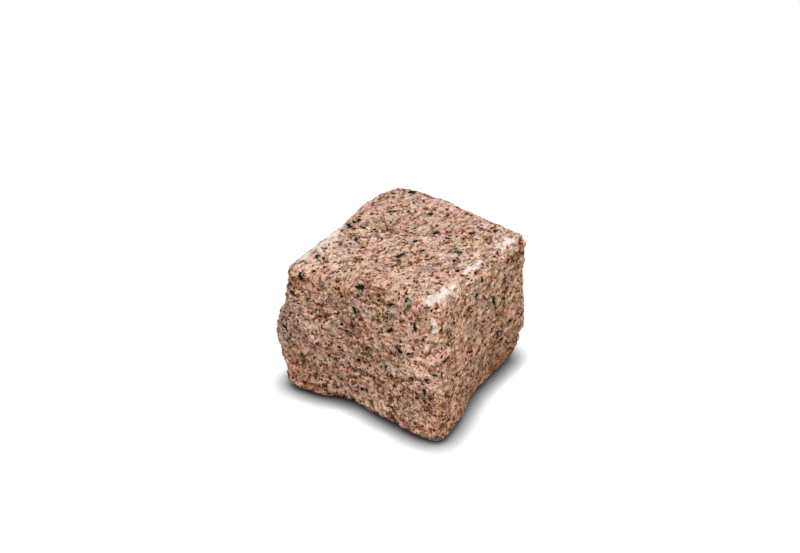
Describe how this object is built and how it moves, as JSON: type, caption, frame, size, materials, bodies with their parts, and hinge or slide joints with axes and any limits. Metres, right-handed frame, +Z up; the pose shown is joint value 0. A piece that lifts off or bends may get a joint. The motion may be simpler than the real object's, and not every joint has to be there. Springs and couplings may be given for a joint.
{
  "type": "granite sett",
  "caption": "Small hand-split paving sett of pink granite, roughly cubic, with a flat bed, rough split faces and blunt, bruised arrises.",
  "frame": {"origin": "on the bed, under the middle of the stone's box", "axes": "+Z up from the bed to the head, the face that is walked on; +X along the front face; +Y towards the back face"},
  "size_m": [0.1112, 0.1096, 0.0833],
  "materials": {
    "granite": "rough split pink granite, salmon feldspar and cream plagioclase with grey quartz and black specks"
  },
  "bodies": {
    "root": {"sett": "granite"}
  },
  "joints": []
}
